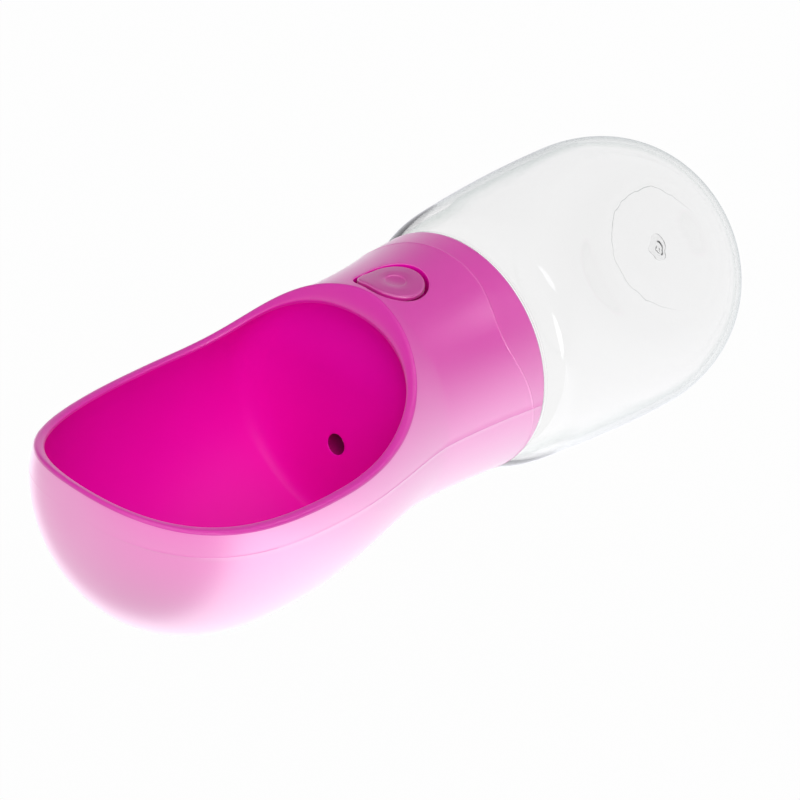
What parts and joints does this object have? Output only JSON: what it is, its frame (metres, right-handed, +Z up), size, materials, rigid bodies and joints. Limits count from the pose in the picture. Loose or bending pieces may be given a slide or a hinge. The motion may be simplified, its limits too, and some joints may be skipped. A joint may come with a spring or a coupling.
{
  "type": "dog travel water bottle",
  "caption": "Clear travel water bottle for a dog whose screw-on head is a scoop-shaped drinking trough, with a push button that lets water into it.",
  "frame": {"origin": "middle of the ring that the bottle stands on, on the bottle's own axis", "axes": "+Z up along the bottle's axis to the trough's nose; the trough opens and the button faces towards -Y; +X across"},
  "size_m": [0.073, 0.0748, 0.2098],
  "materials": {
    "clear_bottle": "clear, polished",
    "head_pink": "satin outside, glossy in the trough",
    "button_pink": "satin",
    "housing_white": "satin",
    "seal_white": "matte",
    "seal_black": "matte",
    "screw_steel": "bright",
    "spring_steel": "drawn wire"
  },
  "bodies": {
    "bottle": {"bottle": "clear_bottle"},
    "gasket": {"lip_gasket": "seal_white"},
    "head": {"trough_head": "head_pink", "valve_housing": "housing_white", "housing_o_ring": "seal_white", "housing_screws": "screw_steel", "outlet_seal": "seal_white", "barrel_cap": "housing_white", "cap_o_ring": "seal_black", "return_spring": "spring_steel"},
    "button": {"button": "button_pink", "plunger": "housing_white", "plunger_seal": "seal_black", "stem_o_rings": "seal_black"}
  },
  "joints": [
    {"name": "head_lift", "type": "slide", "parent": "bottle", "child": "gasket", "axis": [0, 0, 1], "range_m": [0, 0.006]},
    {"name": "head_turn", "type": "hinge", "parent": "gasket", "child": "head", "pos_m": [0, 0, 0.0957], "axis": [0, 0, 1], "range_deg": [0, 540]},
    {"name": "button_press", "type": "slide", "parent": "head", "child": "button", "axis": [0, 1, 0], "range_m": [0, 0.0025], "stiffness_N_per_m": 1600, "springref_m": -0.0006, "deforming": ["return_spring"]}
  ],
  "couplings": [
    {"joint": "head_lift", "follows": "head_turn", "m_per_rad": 0.00063662}
  ]
}
